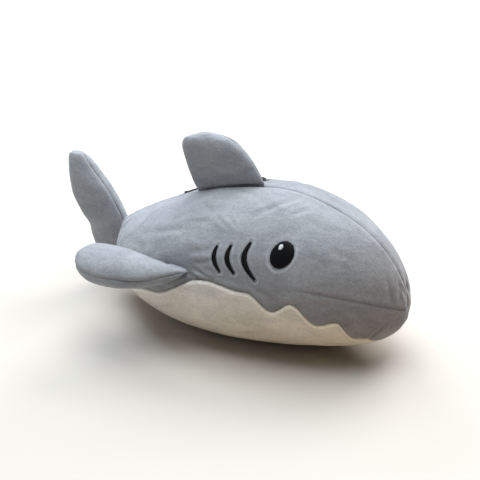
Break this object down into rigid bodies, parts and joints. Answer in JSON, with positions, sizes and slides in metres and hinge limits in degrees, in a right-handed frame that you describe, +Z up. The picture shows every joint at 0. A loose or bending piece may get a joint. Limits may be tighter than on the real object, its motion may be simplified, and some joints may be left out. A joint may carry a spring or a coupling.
{
  "type": "plush shark",
  "caption": "Stuffed plush shark with grey flanks, a cream belly, embroidered eyes and gill slits, soft fins and tail, and a zipped pocket in its back.",
  "frame": {"origin": "on the belly's flat resting face, below the middle of the stuffed body", "axes": "+X towards the nose, +Y towards the toy's left side, +Z up"},
  "size_m": [0.4524, 0.3124, 0.2273],
  "materials": {
    "grey_plush": "matte",
    "cream_plush": "matte",
    "fibre_fill": "matte",
    "black_thread": "satin",
    "white_thread": "satin",
    "zipper_tape": "matte",
    "zipper_nylon": "satin",
    "zipper_metal": "satin",
    "lining": "matte"
  },
  "bodies": {
    "torso": {"right_flank_panel": "grey_plush", "left_flank_panel": "grey_plush", "belly_panel": "cream_plush", "body_stuffing": "fibre_fill", "right_eye": "black_thread", "left_eye": "black_thread", "right_eye_highlight": "white_thread", "left_eye_highlight": "white_thread", "right_gill_slits": "black_thread", "left_gill_slits": "black_thread", "zipper_tapes": "zipper_tape", "zipper_coil": "zipper_nylon", "zipper_stops": "zipper_metal", "zipper_pocket": "lining"},
    "dorsal_fin": {"dorsal_right_panel": "grey_plush", "dorsal_left_panel": "grey_plush", "dorsal_stuffing": "fibre_fill"},
    "right_pectoral_fin": {"right_pectoral_upper_panel": "grey_plush", "right_pectoral_lower_panel": "grey_plush", "right_pectoral_stuffing": "fibre_fill"},
    "left_pectoral_fin": {"left_pectoral_upper_panel": "grey_plush", "left_pectoral_lower_panel": "grey_plush", "left_pectoral_stuffing": "fibre_fill"},
    "tail_fin": {"tail_right_panel": "grey_plush", "tail_left_panel": "grey_plush", "tail_stuffing": "fibre_fill"},
    "slider": {"zipper_slider": "zipper_metal"},
    "pull": {"zipper_pull": "zipper_metal"}
  },
  "joints": [
    {"name": "dorsal_sway", "type": "hinge", "parent": "torso", "child": "dorsal_fin", "pos_m": [-0.03608, 0, 0.16673], "axis": [0.9626, 0, 0.2711], "range_deg": [-25, 25], "stiffness_Nm_per_rad": 0.12},
    {"name": "right_pectoral_flap", "type": "hinge", "parent": "torso", "child": "right_pectoral_fin", "pos_m": [-0.04838, -0.10149, 0.1029], "axis": [1, 0, 0], "range_deg": [-25, 25], "stiffness_Nm_per_rad": 0.12},
    {"name": "left_pectoral_flap", "type": "hinge", "parent": "torso", "child": "left_pectoral_fin", "pos_m": [-0.04838, 0.10149, 0.1029], "axis": [-1, 0, 0], "range_deg": [-25, 25], "stiffness_Nm_per_rad": 0.12},
    {"name": "tail_sway", "type": "hinge", "parent": "torso", "child": "tail_fin", "pos_m": [-0.1857, 0, 0.0652], "axis": [0, 0, 1], "range_deg": [-25, 25], "stiffness_Nm_per_rad": 0.15},
    {"name": "zipper_slide", "type": "hinge", "parent": "torso", "child": "slider", "pos_m": [0.06269, -0.07132, -0.19338], "axis": [0.0426, 0.9611, -0.273], "range_deg": [-14.05, 0]},
    {"name": "pull_turn", "type": "hinge", "parent": "slider", "child": "pull", "pos_m": [-0.01998, 0.03568, 0.17038], "axis": [0.0426, 0.9611, -0.273], "range_deg": [0, 160]}
  ]
}
